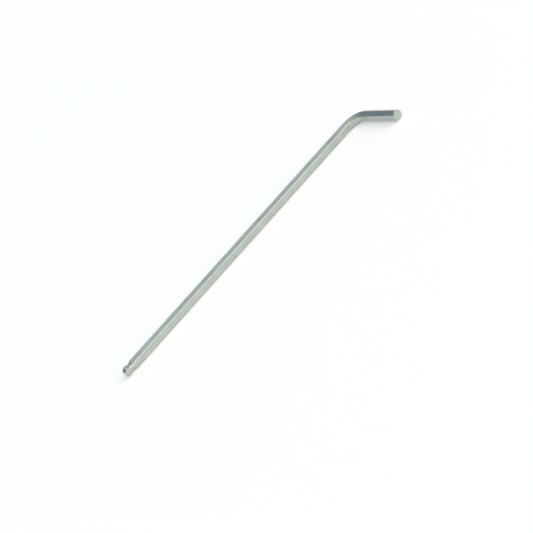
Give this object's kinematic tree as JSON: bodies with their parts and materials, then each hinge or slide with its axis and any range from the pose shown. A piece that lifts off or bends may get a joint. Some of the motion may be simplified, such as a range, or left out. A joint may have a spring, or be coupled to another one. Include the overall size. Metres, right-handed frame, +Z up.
{
  "type": "ball-end hex key",
  "caption": "Long-arm hex key: one hexagonal steel bar, bent at a right angle, with a turned ball on the long arm and a chamfered hex on the short arm.",
  "frame": {"origin": "middle of the key's outer box in X and Y, on the surface that the key lies on", "axes": "+Z up, across the flat plane of the bend; +Y along the long arm, from the ball towards the bend; +X the way the short arm points"},
  "size_m": [0.033, 0.154, 0.0045],
  "materials": {
    "plated_steel": "satin nickel-plated cold-drawn tool steel"
  },
  "bodies": {
    "root": {"hex_key": "plated_steel"}
  },
  "joints": []
}
